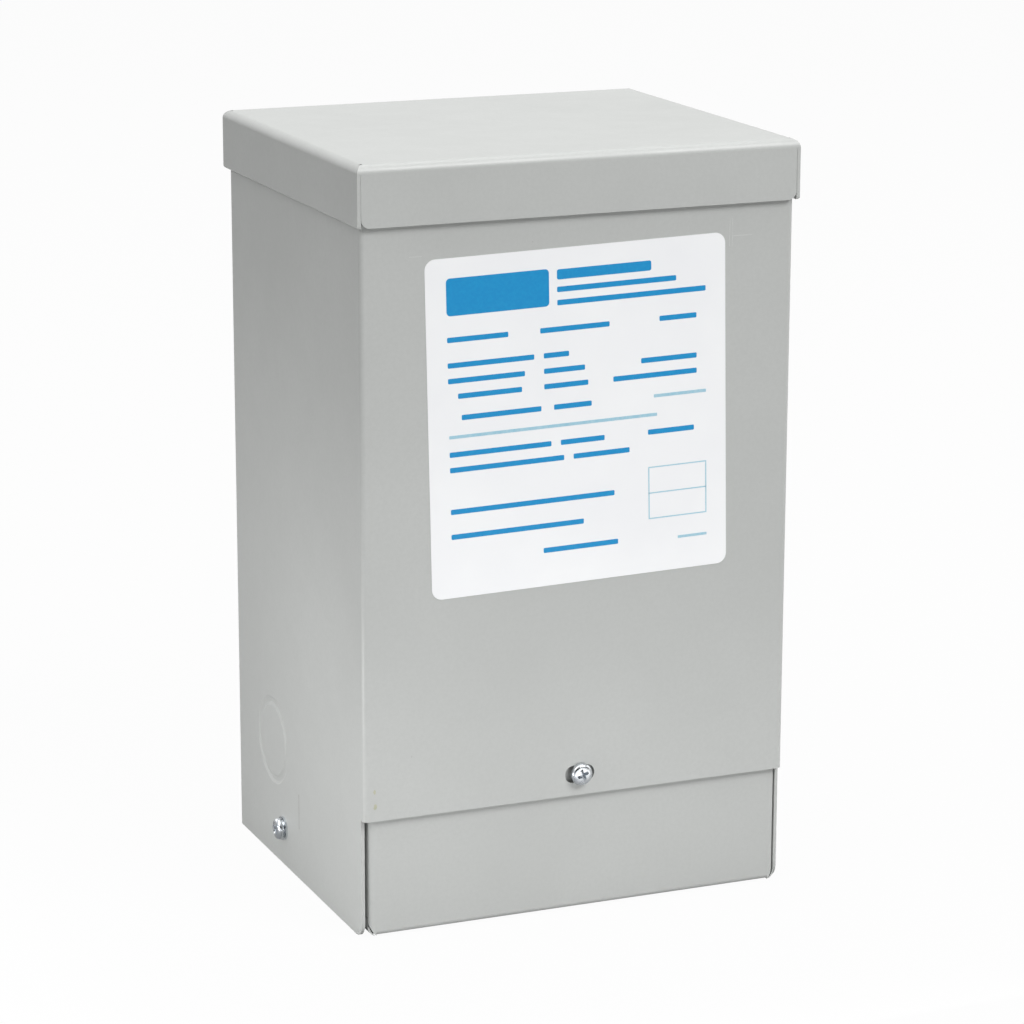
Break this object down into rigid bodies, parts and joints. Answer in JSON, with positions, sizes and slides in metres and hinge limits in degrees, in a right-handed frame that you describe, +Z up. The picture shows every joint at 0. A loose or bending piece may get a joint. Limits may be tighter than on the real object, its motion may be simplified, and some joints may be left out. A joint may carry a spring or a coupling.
{
  "type": "general purpose transformer",
  "caption": "Upright sheet steel transformer case with a folded lid, a screwed wiring cover below the front panel, side knockouts and keyholes for a wall.",
  "frame": {"origin": "on the floor under the middle of the case", "axes": "+Z up, the front panel with its label faces -Y, +X is to the right seen from the front"},
  "size_m": [0.1428, 0.122, 0.232],
  "materials": {
    "case_paint": "semi-gloss light grey powder coat",
    "zinc": "bright zinc plate",
    "label_film": "satin white film with plain blue blocks",
    "compound": "rough cast compound with sand"
  },
  "bodies": {
    "root": {"case_wrapper": "case_paint", "back_panel": "case_paint", "lid": "case_paint", "wiring_cover": "case_paint", "compartment_shelf": "zinc", "potted_block": "compound", "rating_label": "label_film", "front_cover_screw": "zinc", "front_cover_nut": "zinc", "left_knockout_ring": "case_paint", "left_knockout_slug": "case_paint", "left_screw_washer": "zinc", "left_cover_screw": "zinc", "left_cover_nut": "zinc", "left_lid_rivet": "zinc", "right_knockout_ring": "case_paint", "right_knockout_slug": "case_paint", "right_screw_washer": "zinc", "right_cover_screw": "zinc", "right_cover_nut": "zinc", "right_lid_rivet": "zinc"}
  },
  "joints": []
}
